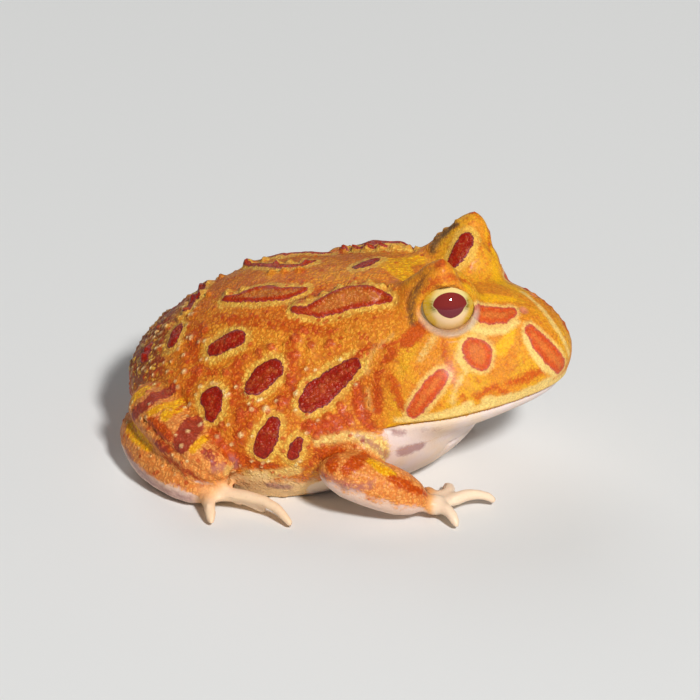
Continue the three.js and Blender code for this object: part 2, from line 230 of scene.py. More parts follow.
# Drops any closed surface left inside
def keepOutermost(piece):
    pick(piece)
    bpy.ops.object.mode_set(mode="EDIT")
    bpy.ops.mesh.select_all(action="DESELECT")
    bpy.ops.object.mode_set(mode="OBJECT")
    front = max(piece.data.vertices, key=lambda v: v.co.x)
    front.select = True
    bpy.ops.object.mode_set(mode="EDIT")
    bpy.ops.mesh.select_mode(type="VERT")
    bpy.ops.mesh.select_linked()
    bpy.ops.mesh.select_all(action="INVERT")
    bpy.ops.mesh.delete(type="VERT")
    bpy.ops.object.mode_set(mode="OBJECT")


skin = makeSkin()
print("skin remeshed", len(skin.data.vertices), "points")


def placesOf(piece):
    places = np.empty(len(piece.data.vertices) * 3, np.float32)
    piece.data.vertices.foreach_get("co", places)
    return (places.reshape(-1, 3).astype(float) - np.array(frogOrigin)) / mm


def setPlaces(piece, places):
    metres = places * mm + np.array(frogOrigin)
    piece.data.vertices.foreach_set("co", metres.astype(np.float32).ravel())
    piece.data.update()


def normalsOf(piece):
    normals = np.empty(len(piece.data.vertices) * 3, np.float32)
    piece.data.vertex_normals.foreach_get("vector", normals)
    return normals.reshape(-1, 3).astype(float)


def edgesOf(piece):
    edges = np.empty(len(piece.data.edges) * 2, np.int32)
    piece.data.edges.foreach_get("vertices", edges)
    return edges.reshape(-1, 2)


# Mean of each point's neighbours
def neighbourMean(values, edges, counts):
    total = np.empty_like(values)
    for k in range(values.shape[1]):
        column = values[:, k]
        total[:, k] = np.bincount(edges[:, 0], column[edges[:, 1]], len(values))
        total[:, k] += np.bincount(edges[:, 1], column[edges[:, 0]], len(values))
    return total / counts[:, None]


# Evens out facets and keeps the volume. Where the share is 0 nothing moves.
def smoothed(places, edges, turns, share=1.0, strength=0.6, back=1.04):
    counts = np.bincount(edges.ravel(), minlength=len(places)).astype(float)
    for step in range(turns):
        for push in (strength, -strength * back):
            places = places + push * share * (neighbourMean(places, edges, counts) - places)
    return places


# Which flesh node each point of the skin lies nearest to, as its place in fleshNodes
def nearestNode(places):
    corners, faces, owners = [], [], []
    for index, name in enumerate(fleshNodes):
        data = frame["nodes"][name].data
        first = len(corners)
        corners += [v.co.copy() for v in data.vertices]
        faces += [[first + i for i in p.vertices] for p in data.polygons]
        owners += [index] * len(data.polygons)
    tree = BVHTree.FromPolygons(corners, faces)
    found = [tree.find_nearest(Vector(p) * mm + frogOrigin)[2] for p in places]
    return np.array(owners)[found]


# 1 on the nodes whose names start with one of some words, 0 elsewhere, soft between
def partShare(labels, edges, words, turns=8):
    chosen = [name.startswith(words) for name in fleshNodes]
    share = np.array(chosen, float)[labels][:, None]
    counts = np.bincount(edges.ravel(), minlength=len(share)).astype(float)
    for step in range(turns):
        share = neighbourMean(share, edges, counts)
    return share[:, 0]


# 1 at no distance, 0 at the width and beyond, smooth between
def fade(distance, width):
    share = np.clip(1 - np.abs(distance) / width, 0, 1)
    return share * share * (3 - 2 * share)


def ramp(values, low, high):
    share = np.clip((values - low) / (high - low), 0, 1)
    return share * share * (3 - 2 * share)


edges = edgesOf(skin)
horns = partShare(nearestNode(placesOf(skin)), edges, "horn")
softer = 1 - skinSizes["hornKeeps"] * horns[:, None]
places = smoothed(placesOf(skin), edges, skinSizes["smoothTurns"], softer)
broadForms = partShare(nearestNode(places), edges, ("trunk", "thigh", "shank", "upper", "forearm", "lower"))
places = smoothed(places, edges, skinSizes["broadTurns"], broadForms[:, None])
setPlaces(skin, places)
places = places - normalsOf(skin) * skinSizes["reachOut"]
setPlaces(skin, places)

# Line of the mouth
mouthSizes = {
    "line": ((9.2, 9.9), (18.0, 11.4), (25.0, 12.0)),  # forward, up
    "bend": (15.0, 22.0),  # where the rear part of the line goes over into the front part
    "start": 8.6,
    "fadeIn": 1.4,
    "within": 3.0,  # of the line, up and down
    "facingUp": 0.75,  # skin that faces up more than this is left alone
    # height above the line, half width, rise
    "lip": (0.5, 0.5, 0.15),
    "chin": (-0.7, 0.5, 0.045),
    "groove": (-0.05, 0.26, -0.26),
    "colourDown": 0.02,
    "lipBand": (0.75, 0.75, 2.0),  # middle, half width and fade in of the cream band, with its share
    "lipCream": 0.75,
}
farOff = 9.0  # mm, stands for nowhere near


def mouthHeight(x):
    (x0, z0), (x1, z1), (x2, z2) = mouthSizes["line"]
    first = z0 + (z1 - z0) * (x - x0) / (x1 - x0)
    second = z1 + (z2 - z1) * (x - x1) / (x2 - x1)
    return first + (second - first) * ramp(x, *mouthSizes["bend"])


eyeSizes = {
    # mm
    "radius": 3.2,
    "middle": (eyeMiddleX, 5.0, 21.6),
    "look": (0.387, 0.851, 0.353),  # where the pupil points
    "face": (0.4, 0.89, 0.2),  # where the opening of the lids faces
    "opening": (6.2, 5.3),
    "mesh": (96, 64),  # segments and rings
}
sides = (-1, 1)
otherSide = np.array((1, -1, 1))


# Middle of an eye, and the axes along a direction, level and upright
def eyeFrame(side, direction):
    flip = np.array((1, side, 1))
    along = Vector(np.array(eyeSizes[direction]) * flip).normalized()
    level = Vector((0, 0, 1)).cross(along).normalized() * side
    upright = along.cross(level) * side
    return np.array(eyeSizes["middle"]) * flip, np.array(along), np.array(level), np.array(upright)


# A finer mesh round the eyes and along the mouth
def refine(piece, places):
    corners = [p.vertices for p in piece.data.polygons]
    middles = np.array([places[list(c)].mean(0) for c in corners])
    chosen = np.zeros(len(corners), bool)
    for side in sides:
        centre = eyeFrame(side, "face")[0]
        chosen |= np.linalg.norm(middles - centre, axis=1) < skinSizes["fineAroundEye"]
    atMouth = np.abs(middles[:, 2] - mouthHeight(middles[:, 0])) < skinSizes["fineAtMouth"]
    chosen |= atMouth & (middles[:, 0] > mouthSizes["start"])
    pick(piece)
    bpy.ops.object.mode_set(mode="EDIT")
    bpy.ops.mesh.select_mode(type="FACE")
    bpy.ops.mesh.select_all(action="DESELECT")
    bpy.ops.object.mode_set(mode="OBJECT")
    piece.data.polygons.foreach_set("select", chosen)
    bpy.ops.object.mode_set(mode="EDIT")
    bpy.ops.mesh.subdivide(number_cuts=1, smoothness=0)
    bpy.ops.mesh.select_mode(type="VERT")
    bpy.ops.object.mode_set(mode="OBJECT")


refine(skin, places)
edges = edgesOf(skin)
places = smoothed(placesOf(skin), edges, skinSizes["afterFine"])
setPlaces(skin, places)

# Lids
lidSizes = {
    "socket": 3.5,  # mm from the middle of the eye
    "blendTo": 4.15,
    "clear": 0.06,
    "lowered": 0.6,  # how far the upper lid is drawn down over the eye
    "lowerLid": 0.1,  # and the lower one away from it
    "loweredWithin": (3.8, 6.0),
    "facing": (0.2, 1.6),  # only this far towards the opening from the middle of the eye
    "upper": (-1.5, 1.0),  # where the lower lid goes over into the upper
    "rimOut": 1.1,  # size of the rim against the opening
    "rimWidth": 0.6,
    "rimRise": 0.12,
    "rimFacing": (0.4, 1.4),
    "rimWithin": 5.5,
    "paleInside": 0.2,  # the pale edge lies this far inside the rim
    "paleWidth": 0.6,
    "paleBelow": (-0.6, 1.2),
}


def shapeLids(places):
    normals = normalsOf(skin)
    rimTotal = np.zeros(len(places))
    for side in sides:
        centre, along, level, upright = eyeFrame(side, "face")
        away = places - centre
        distance = np.linalg.norm(away, axis=1)
        drawn = 1 - ramp(distance, *lidSizes["loweredWithin"])
        drawn *= ramp(away @ along, *lidSizes["facing"])
        upper = ramp(away @ upright, *lidSizes["upper"])
        drawn *= lidSizes["lowerLid"] + (lidSizes["lowered"] - lidSizes["lowerLid"]) * upper
        places -= drawn[:, None] * upright
        away = places - centre
        distance = np.linalg.norm(away, axis=1)
        near = distance < lidSizes["blendTo"]
        inner = eyeSizes["radius"] + lidSizes["clear"]
        blendOver = lidSizes["blendTo"] - lidSizes["socket"]
        share = np.clip((distance - lidSizes["socket"]) / blendOver, 0, 1)
        wanted = inner + share * (lidSizes["blendTo"] - inner)
        places[near] = centre + away[near] / distance[near, None] * wanted[near, None]
        wide, high = eyeSizes["opening"][0] / 2, eyeSizes["opening"][1] / 2
        around = np.hypot((away @ level) / wide, (away @ upright) / high)
        front = ramp(away @ along, *lidSizes["rimFacing"]) * (distance < lidSizes["rimWithin"])
        fromRim = (around - lidSizes["rimOut"]) * (wide + high) / 2
        places += normals * (fade(fromRim, lidSizes["rimWidth"]) * front * lidSizes["rimRise"])[:, None]
        below = ramp(-(away @ upright), *lidSizes["paleBelow"])
        paleRim = fade(fromRim + lidSizes["paleInside"], lidSizes["paleWidth"]) * front * below
        rimTotal = np.maximum(rimTotal, paleRim)
    return places, rimTotal


places, lidRim = shapeLids(places)
setPlaces(skin, places)


# The upper lip stands a little over the jaw
def shapeMouth(places):
    normals = normalsOf(skin)
    height = places[:, 2] - mouthHeight(places[:, 0])
    start = mouthSizes["start"]
    outside = (places[:, 0] > start) & (normals[:, 2] < mouthSizes["facingUp"])
    outside &= np.abs(height) < mouthSizes["within"]
    rise = np.zeros(len(places))
    for form in ("lip", "chin", "groove"):
        middle, width, amount = mouthSizes[form]
        rise += fade(height - middle, width) * amount
    along = ramp(places[:, 0], start, start + mouthSizes["fadeIn"])
    places += normals * (rise * along * outside)[:, None]
    return places, np.where(outside, height, farOff)


places, mouthSide = shapeMouth(places)
setPlaces(skin, places)
print("lids and mouth shaped")

# Strokes are (across, down, radius) in pixels of the frame, laid on the skin as the camera sees it
raisedStrokes = {
    "backRear": [
        (224, 300, 3), (240, 298, 6), (256, 295, 10), (266, 294, 11), (280, 295, 8), (292, 293, 8),
        (304, 290, 4),
    ],
    "backFront": [
        (294, 309, 4), (308, 311, 5), (320, 309, 9), (332, 303, 12), (345, 298, 13), (358, 296, 12),
        (370, 296, 10), (382, 298, 7), (390, 299, 4),
    ],
    "farRear": [(246, 265, 3), (262, 266, 4), (280, 267, 5), (300, 266, 4), (314, 262, 3)],
    "farFront": [(343, 250, 2), (380, 248, 3), (418, 249, 2)],
}
blotchStrokes = {
    "flankHigh": [(214, 350, 8), (226, 343, 9.5), (237, 338, 9.5)],
    "flankMiddle": [(255, 386, 11), (264, 377, 13), (273, 369, 11)],
    "flankLow": [(210, 398, 11.5), (213, 398, 11.5), (213, 408, 10), (212, 414, 8)],
    "flankSteep": [(273, 424, 7.5), (268, 436, 11), (262, 450, 9.5)],
    "flankSmall": [(299, 441, 5), (295, 449, 7), (292, 456, 6)],
    "shoulder": [(309, 402, 11.5), (317, 395, 15), (331, 383, 12.5), (344, 373, 10.5), (354, 365, 8)],
    "backSpot": [(357, 267, 5), (366, 264, 7.5), (375, 260, 6)],
    "eyelidInner": [(452, 263, 7), (460, 251, 9.5), (466, 240, 8.5)],
    "rumpA": [(208, 284, 4), (196, 297, 5), (188, 310, 6)],
    "rumpB": [(178, 330, 7), (172, 342, 7)],
    "rumpC": [(150, 346, 6), (144, 358, 6)],
}
faceStrokes = {
    "belowEye": [(474, 349, 12), (478, 354, 15), (480, 359, 12)],
    "cheek": [(441, 376, 8), (433, 386, 9.5), (422, 400, 9.5), (413, 413, 7)],
    "loreal": [(480, 313, 9), (490, 315, 11), (502, 315, 10), (510, 312, 7)],
    "snoutSide": [(531, 331, 7), (540, 343, 10), (551, 355, 11), (560, 366, 9)],
}
strokeReach = 5  # mm, no stroke is felt further away
# only on the side that the camera sees, or on both sides of the middle already
onceOnly = ("snoutSide", "backSpot", "creamRidge", "redSnoutEdge", "farRear", "farFront")
paintStrokes = {
    # name: (paint, strength, strokes)
    "redStreak": ("net", 1.0, [(357, 384, 4), (358, 400, 6), (362, 416, 5), (372, 428, 4)]),
    "redStreakSecond": ("net", 0.9, [(377, 372, 3), (377, 392, 5), (378, 410, 4)]),
    "redShoulder": ("net", 1.0, [(306, 427, 6), (328, 428, 8), (346, 418, 7)]),
    "redFlankA": ("net", 0.65, [(236, 366, 7), (238, 392, 9), (243, 420, 9), (238, 440, 7)]),
    "redFlankB": ("net", 0.65, [(293, 338, 6), (290, 356, 6), (292, 385, 7), (286, 402, 8)]),
    "redFlankC": ("net", 0.8, [(199, 368, 7), (190, 384, 5)]),
    "redBelly": ("net", 0.9, [(213, 432, 6), (226, 452, 6), (250, 462, 5), (275, 468, 6)]),
    "redBack": ("net", 0.6, [(215, 318, 6), (250, 322, 7), (290, 326, 7), (330, 332, 6)]),
    "redBackFront": ("net", 0.7, [(300, 302, 3), (312, 296, 5), (322, 290, 4)]),
    "redCheek": ("net", 0.6, [(442, 343, 4), (446, 356, 5), (457, 388, 4)]),
    "redLip": ("net", 0.7, [(462, 396, 3), (466, 404, 3)]),
    "lipArch": ("net", 0.75, [
        (477, 398, 3.5), (485, 391, 3.5), (495, 388, 4),
        (503, 391, 3.5), (510, 399, 3),
    ]),
    "lipPatch": ("net", 0.75, [(507, 384, 3), (518, 381, 5), (530, 376, 6), (543, 370, 5)]),
    "redSnoutEdge": ("net", 0.9, [(530, 289, 2.5), (545, 300, 3), (557, 312, 3), (568, 330, 3)]),
    "behindEye": ("net", 0.95, [(418, 330, 8), (407, 341, 8)]),
    "behindEyeLow": ("net", 0.8, [(392, 352, 7), (385, 361, 5)]),
    "shoulderLink": ("net", 0.9, [
        (354, 360, 4), (362, 350, 3), (376, 346, 3),
        (390, 345, 3), (402, 339, 3),
    ]),
    "redBrow": ("net", 0.7, [(424, 292, 3), (434, 282, 4), (450, 277, 4), (466, 281, 3), (475, 290, 2)]),
    "redEyelidTip": ("net", 0.9, [(437, 265, 4), (441, 263, 5)]),
    "redHornEdge": ("net", 0.7, [(476, 216, 2), (488, 230, 2), (495, 247, 2), (500, 263, 2)]),
    "redShank": ("net", 1.0, [(150, 421, 5), (160, 428, 6), (168, 437, 5)]),
    "redArmTop": ("net", 0.8, [(391, 378, 5), (398, 395, 5), (402, 408, 4)]),
    "redElbow": ("net", 1.0, [(325, 456, 8), (338, 452, 6), (332, 466, 7)]),
    "redForearm": ("net", 1.0, [(346, 470, 6), (356, 462, 7), (366, 455, 5)]),
    "redWrist": ("net", 0.9, [(391, 478, 4), (400, 482, 7), (414, 490, 5), (426, 494, 3)]),
    "redFoot": ("net", 0.8, [(160, 444, 6), (168, 450, 5)]),
    "redFootTop": ("deep", 0.6, [(155, 444, 5), (164, 449, 6)]),
    "orangeFoot": ("net", 0.8, [(164, 456, 4), (176, 464, 5), (190, 472, 4), (203, 482, 3)]),
    "spotsHorn": ("net", 0.5, [(478, 240, 2), (482, 252, 2), (470, 268, 2)]),
    "barShankA": ("deep", 1.0, [(133, 416, 5), (146, 405, 7), (160, 395, 7), (172, 389, 5)]),
    "barShankB": ("deep", 1.0, [(194, 423, 9), (187, 434, 11), (181, 444, 9)]),
    "barShankC": ("deep", 0.6, [(207, 452, 6), (214, 462, 5)]),
    "yellowForearm": ("bright", 0.9, [(370, 460, 6), (382, 467, 8), (392, 473, 6)]),
    "yellowFoot": ("bright", 1.0, [(131, 428, 6), (138, 434, 9), (149, 444, 7)]),
    "yellowHeel": ("bright", 0.9, [(133, 400, 5), (142, 392, 7), (152, 386, 4)]),
    "yellowShank": ("bright", 0.8, [(148, 415, 4), (162, 406, 5), (176, 404, 5), (184, 398, 4)]),
    "yellowShankMiddle": ("bright", 0.9, [(166, 416, 6), (178, 408, 6), (186, 400, 4)]),
    "yellowShankLow": ("bright", 0.8, [(193, 449, 4), (203, 440, 4), (208, 436, 3)]),
    "yellowNape": ("bright", 1.0, [(385, 263, 9), (403, 262, 11), (418, 260, 8)]),
    "yellowHead": ("bright", 0.6, [(455, 272, 5), (470, 288, 6), (490, 298, 8), (515, 300, 4)]),
    "yellowCheek": ("bright", 0.6, [(500, 350, 8), (508, 340, 7), (512, 330, 5)]),
    "creamLip": ("cream", 0.9, [(396, 420, 2), (424, 419, 3), (455, 411, 4), (470, 405, 4)]),
    "creamLipFront": ("cream", 1.0, [(486, 402, 5), (512, 398, 5), (535, 388, 4), (550, 380, 4)]),
    "creamCheek": ("cream", 0.5, [(452, 402, 4), (456, 388, 3), (462, 376, 4)]),
    "creamUnderEye": ("cream", 0.9, [(472, 328, 3), (485, 332, 4), (505, 330, 3), (518, 322, 2)]),
    "creamUnderEyeB": ("cream", 0.45, [(434, 338, 4), (426, 350, 4), (420, 360, 3)]),
    "creamUnderEyeC": ("cream", 0.6, [(462, 340, 2), (458, 356, 3), (466, 372, 3)]),
    "creamSnout": ("cream", 1.0, [(526, 338, 3), (534, 352, 4), (545, 366, 4), (555, 374, 3)]),
    "creamRidge": ("cream", 0.9, [
        (522, 292, 2), (536, 303, 2), (552, 322, 3),
        (563, 340, 2), (569, 354, 2),
    ]),
    "creamShoulder": ("cream", 0.7, [(318, 442, 5), (345, 436, 5), (370, 438, 5)]),
    "creamChest": ("cream", 0.95, [(366, 440, 7), (380, 446, 9), (390, 456, 8)]),
    "creamBelly": ("cream", 0.7, [(228, 470, 5), (250, 476, 6), (275, 474, 6), (296, 470, 6)]),
    "creamNape": ("cream", 0.4, [(366, 372, 4), (372, 352, 4), (392, 336, 3)]),
    "creamNapeB": ("cream", 0.4, [(367, 390, 4), (369, 408, 4)]),
    # painted shade in the crease behind the eye and brow, and on the rear side of the far horn
    "shadeBehindEye": ("paintedShade", 0.5, [(421, 284, 3), (413, 296, 4), (410, 310, 5), (412, 322, 4)]),
    "shadeBehindBrow": ("paintedShade", 0.4, [(438, 264, 2), (424, 276, 3), (412, 290, 3), (406, 300, 3)]),
    "shadeOnHornRear": ("paintedShade", 0.75, [(433, 250, 4), (440, 238, 5), (450, 228, 4), (458, 224, 2)]),
    "mauveThroat": ("mauve", 0.9, [(402, 452, 5), (411, 449, 6), (420, 446, 5)]),
    "mauveCorner": ("mauve", 0.8, [(395, 432, 3), (403, 433, 3)]),
    "mauveChest": ("mauve", 0.7, [(357, 436, 2), (376, 447, 3), (386, 456, 4)]),
    "mauveJaw": ("mauve", 0.3, [(424, 430, 4), (438, 429, 4)]),
    "mauveForearm": ("mauve", 0.6, [(322, 474, 3), (338, 482, 4), (356, 488, 5), (370, 486, 4)]),
    "mauveFlank": ("mauve", 0.9, [(270, 485, 4), (288, 487, 4)]),
    "mauveFlankB": ("mauve", 0.8, [(232, 458, 3), (236, 466, 3)]),
    "mauveShank": ("mauve", 0.6, [(214, 470, 4), (222, 466, 4)]),
    "mauveFoot": ("mauve", 0.6, [(126, 452, 5), (142, 474, 6), (164, 490, 6), (190, 499, 5)]),
}
# Creases are sunk into the skin, and painted shade is laid along their lines as well
creases = {
    # name: (depth in mm, strokes)
    "legAndFlank": (0.3, [(178, 387), (189, 411), (202, 431), (219, 448), (231, 472), (234, 483)]),
    "shankAndFoot": (0.3, [(144, 420), (160, 438), (174, 451), (191, 464), (211, 476), (221, 482)]),
    "armAndBody": (0.3, [(311, 461), (334, 445), (357, 449), (378, 458), (399, 475)]),
    "behindMouth": (0.15, [(361, 388), (366, 419), (378, 429), (393, 430)]),
    "throatFold": (0.4, [(472, 430), (449, 444), (436, 460), (422, 472)]),
    "behindEyeFold": (0.12, [(440, 264), (424, 276), (411, 290), (406, 304), (409, 318)]),
    "neckFold": (0.2, [(383, 357), (396, 360), (404, 372)]),
}


def surfaceTree(piece):
    vertices = [v.co.copy() for v in piece.data.vertices]
    return BVHTree.FromPolygons(vertices, [p.vertices[:] for p in piece.data.polygons])


skinTree = surfaceTree(skin)
bodyPixel = (345, 385)  # rays that pass the frog by are moved towards it


# Where the camera sees the skin at a pixel, in mm
def onSkin(u, v):
    start = cameraPlace * mm + frogOrigin
    hit = None
    while hit is None:
        through = onAimPlane(u, v) * mm + frogOrigin
        hit = skinTree.ray_cast(start, (through - start).normalized())[0]
        away = math.hypot(bodyPixel[0] - u, bodyPixel[1] - v)
        u, v = u + (bodyPixel[0] - u) / away, v + (bodyPixel[1] - v) / away
    return (np.array(hit) - np.array(frogOrigin)) / mm


def nearestOnSkin(places):
    found = [skinTree.find_nearest(Vector(p) * mm + frogOrigin)[0] for p in places]
    return (np.array(found) - np.array(frogOrigin)) / mm


# Distance in mm from each point of the skin to the edge of a stroke, negative inside it
def strokeDistance(path, radii):
    best = np.full(len(places), farOff)
    low, high = path.min(0) - strokeReach, path.max(0) + strokeReach
    near = np.all((places > low) & (places < high), axis=1)
    spots = places[near]
    nearBest = best[near]
    for a, b, ra, rb in zip(path[:-1], path[1:], radii[:-1], radii[1:]):
        along = b - a
        t = np.clip((spots - a) @ along / max(along @ along, 1e-9), 0, 1)
        d = np.linalg.norm(spots - a - t[:, None] * along, axis=1) - (ra + (rb - ra) * t)
        nearBest = np.minimum(nearBest, d)
    best[near] = nearBest
    return best


rng = random.Random(7)
mirrorSizes = {"shift": 0.7, "grow": 0.15, "keepInside": 3.0}  # mm, share, mm from the middle


# The stroke as seen, and a slightly different one on the other side
def bothSides(name, strokes, alike=False):
    path = np.array([onSkin(u, v) for u, v, r in strokes])
    radii = np.array([r for u, v, r in strokes]) / view["pixelsPerMm"]
    shift = np.array([rng.uniform(-1, 1) * mirrorSizes["shift"] for k in range(3)])
    grow = 1 + rng.uniform(-1, 1) * mirrorSizes["grow"]
    if name in onceOnly:
        return [(path, radii)]
    if alike:
        shift, grow = shift * 0, 1
    other = path * otherSide + shift * (np.abs(path[:, 1:2]) > mirrorSizes["keepInside"])
    return [(path, radii), (nearestOnSkin(other), radii * grow)]


noiseStep = (17.3, 9.1, 5.7)  # between the places that two seeds read


# Smooth noise from -1 to 1 at each point of the skin, with features of about the given size in mm
def noiseAt(size, seed):
    offset = Vector([seed * step for step in noiseStep])
    return np.array([noise.noise(Vector(p) / size + offset) for p in places])


waves = ((1.6, 0.1, 1), (0.7, 0.08, 2))  # size and height in mm, seed
wave = sum(noiseAt(size, seed) * height for size, height, seed in waves)


# Distance in mm to the nearest of some strokes
def laidDistance(strokes, alike=False):
    nearest = np.full(len(places), farOff)
    for name, points in strokes.items():
        for path, radii in bothSides(name, points, alike):
            nearest = np.minimum(nearest, strokeDistance(path, radii))
    return nearest + wave


blotch = laidDistance(blotchStrokes)
face = laidDistance(faceStrokes)
raised = laidDistance(raisedStrokes, alike=True)
painted = {}
paintEdge = (-0.45, 0.55)  # mm, inside and outside the edge of a stroke
for name, (paint, strength, points) in paintStrokes.items():
    soft = painted.setdefault(paint, np.zeros(len(places)))
    for path, radii in bothSides(name, points):
        d = strokeDistance(path, radii) + wave
        np.maximum(soft, strength * (1 - ramp(d, *paintEdge)), out=soft)
# share of painted shade along the creases
creaseShade = np.zeros(len(places))
creaseDepth = np.zeros(len(places))
creaseWidth = 0.45  # mm
for name, (depth, points) in creases.items():
    for path, radii in bothSides(name, [(u, v, 0) for u, v in points], alike=True):
        line = fade(strokeDistance(path, radii), creaseWidth)
        np.maximum(creaseShade, line, out=creaseShade)
        np.maximum(creaseDepth, line * depth, out=creaseDepth)
print("markings laid")

# Zones of colour, each between two places in mm: forward, up, or above a line
zones = {
    "drift": (2.6, 3),  # size of the noise that moves the edges, seed
    "paleHeight": -1.5,  # the trunk is pale below it
    "chest": (-2, 2),  # where the pale height rises
    "chestRise": 3.4,
    "breast": (1, 6),
    "breastRise": 5.2,
    "paleFade": 2.2,
    "jaw": (6.2, 10.6),
    "underMouth": (0.0, 0.2),
    "underArm": (-0.1, 0.7),  # by how far the skin faces down
    "underLeg": (-0.5, 0.4),
    "legUpTo": (2.6, 4.4),
    "lowFlank": (1.8, 5.4),
    "hand": (11.8, 14.6),
    "handSlant": (0.35, 2),
    "foot": (-12.5, -8.0),
    # where the rump is painted with shade, as it faces away from the key light: forward, slant and height
    "rear": (13.0, 17.0),
    "rearSlant": 0.25,
    "rearAbove": (7.0, 9.0),
    "head": (7.0, 10.5),
    "netFrom": (0.8, 1.6),
    "backCalm": (14.0, 18.5),
    "neckCalm": (3.0, 8.0),
    "calmBy": 0.75,
    "net": (0.42, 0.9, 0.8),  # mean, change with the noise, most
    # how far the noises push an edge, in times their own height
    "wavePush": 3,
    "driftPush": 2,
    "flankPush": 1.5,
    "facingPush": 0.3,
}
normals = normalsOf(skin)
x, y, z = places.T
labels = nearestNode(places)
trunk = partShare(labels, edges, "trunk")
arm = partShare(labels, edges, ("upper", "forearm", "hand"))
leg = partShare(labels, edges, ("thigh", "shank", "foot"))
limbs = np.maximum(arm, leg)
hand = partShare(labels, edges, "hand")
foot = partShare(labels, edges, "foot")
drift = noiseAt(*zones["drift"])
paleHeight = zones["paleHeight"] + zones["chestRise"] * ramp(x, *zones["chest"])
paleHeight += zones["breastRise"] * ramp(x, *zones["breast"])
raggedHeight = z + wave * zones["wavePush"]
pushed = drift * zones["driftPush"]
pale = (1 - ramp(raggedHeight + pushed, paleHeight, paleHeight + zones["paleFade"])) * (1 - limbs)
underMouth = ramp(x + pushed, *zones["jaw"]) * ramp(mouthHeight(x) - z, *zones["underMouth"])
pale = np.maximum(pale, underMouth * (1 - limbs))
facingDown = drift * zones["facingPush"] - normals[:, 2]
pale = np.maximum(pale, ramp(facingDown, *zones["underArm"]) * arm)
pale = np.maximum(pale, ramp(facingDown, *zones["underLeg"]) * leg * (1 - ramp(z, *zones["legUpTo"])))
lowFlank = (1 - ramp(raggedHeight + drift * zones["flankPush"], *zones["lowFlank"])) * trunk
slant, level = zones["handSlant"]
handFrom = ramp(x + slant * (z - level) + drift, *zones["hand"])
footFrom = ramp(x + wave + drift, *zones["foot"])
digits = np.maximum(hand * np.where(y > 0, 1, handFrom), foot * footFrom)
# painted shade on the rump, which faces away from the key light; the zone also thickens the large warts
# there
rumpShadeZone = ramp(-x - zones["rearSlant"] * z, *zones["rear"]) * ramp(z, *zones["rearAbove"]) * (1 - leg)
head = ramp(x, *zones["head"]) * (1 - limbs)
nearest = np.minimum(blotch, raised)
flankShare = 1 - zones["calmBy"] * ramp(z, *zones["backCalm"])
flankShare = flankShare * (1 - ramp(x, *zones["neckCalm"])) * trunk
netMean, netChange, netMost = zones["net"]
netHere = ramp(nearest, *zones["netFrom"]) * flankShare * np.clip(netMean + netChange * drift, 0, netMost)
middle, width, fadeIn = mouthSizes["lipBand"]
lipBand = fade(mouthSide - middle, width) * (1 - limbs)
lipBand *= ramp(x, mouthSizes["start"], mouthSizes["start"] + fadeIn)
painted["cream"] = np.maximum(painted["cream"], lipBand * mouthSizes["lipCream"])
painted["net"] = np.maximum(painted["net"], netHere)
print("zones laid")

# Warts raised on the skin
placedWarts = {
    # name: (height in mm, tip, places in pixels with radius)
    "farHorn": (0.36, 0.2, [(434, 246, 6), (437, 239, 6), (441, 233, 6), (448, 227, 5), (457, 222, 4)]),
    "farSnout": (0.15, 0.2, [
        (529, 288, 4), (537, 293, 4), (545, 300, 4), (552, 307, 4), (559, 315, 4), (564, 323, 4),
        (569, 332, 4),
    ]),
    "cream": (0.38, 1.0, [
        (192, 338, 5), (193, 315, 4), (266, 409, 6), (241, 435, 5), (232, 444, 4), (190, 405, 4),
        (247, 393, 4), (187, 417, 3), (182, 446, 4), (213, 384, 4), (218, 385, 3), (197, 395, 3),
        (217, 437, 4), (147, 350, 4), (185, 372, 5), (184, 356, 4), (132, 407, 4), (129, 423, 4),
        (178, 387, 4), (263, 447, 4), (296, 394, 4), (252, 410, 4), (201, 387, 4), (226, 397, 4),
        (228, 341, 4), (266, 378, 4), (172, 362, 3), (160, 335, 3), (200, 425, 4), (150, 405, 3),
        (171, 411, 3), (188, 432, 4), (176, 436, 3), (233, 471, 4), (300, 460, 4), (241, 465, 3),
        (251, 470, 4), (262, 466, 3), (140, 449, 3), (152, 456, 3), (163, 466, 3), (176, 474, 3),
    ]),
    "red": (0.36, 0.0, [
        (281, 401, 7), (328, 418, 7), (295, 338, 6), (295, 355, 6), (251, 409, 5), (226, 373, 5),
        (316, 436, 5), (303, 330, 5), (311, 345, 5), (330, 343, 5), (271, 347, 5), (259, 352, 5),
        (245, 357, 4), (340, 405, 5), (222, 425, 5), (240, 412, 5), (250, 425, 4), (205, 330, 5),
        (199, 372, 5), (290, 382, 5), (310, 425, 5),
    ]),
    "comb": (0.55, 0.2, [
        (249, 262, 6), (265, 261, 6), (278, 264, 5), (290, 263, 5), (305, 262, 6), (209, 284, 7),
        (195, 299, 6), (187, 312, 6), (221, 277, 4), (180, 319, 4), (345, 249, 5), (356, 249, 5),
        (368, 248, 5), (381, 248, 5), (394, 248, 5), (408, 249, 5), (417, 250, 4),
    ]),
}
wartSizes = {
    # name: (count, radii, heights, seed)
    "medium": (900, (0.34, 0.5), (0.08, 0.17), 31),
    "large": (200, (0.46, 0.62), (0.2, 0.32), 32),
    "mediumRed": 0.8,
    "largeTip": 0.9,
    "foot": 1.25,  # radius of a placed wart at its foot against the radius it is seen with
    # how thickly the scattered ones stand
    "neckEnd": (5, 9),  # mm forward, none in front of this
    "onMarks": 0.1,
    "least": 1e-6,
    "offNet": 0.3,
    "ring": (0.7, 0.6, 1.5),  # mm from the marks to a ring of large warts, half width, weight
    "rear": 2,
    "elsewhere": 0.15,
    "largeBelow": 17,
}
plateau = {
    # mm
    "welt": 0.26,
    "weltEdge": (-0.3, 0.12),
    "combSteps": 0.16,
    "stepSize": 1.3,
    "stepSeed": 5,
    "blotch": 0.12,
    "blotchEdge": (-0.22, 0.1),
}
digitThinner = 0.14  # mm
pointTree = KDTree(len(places))
for index, place in enumerate(places):
    pointTree.insert(place, index)
pointTree.balance()
lift = np.zeros(len(places))
wartTip = np.zeros(len(places))
wartRed = np.zeros(len(places))


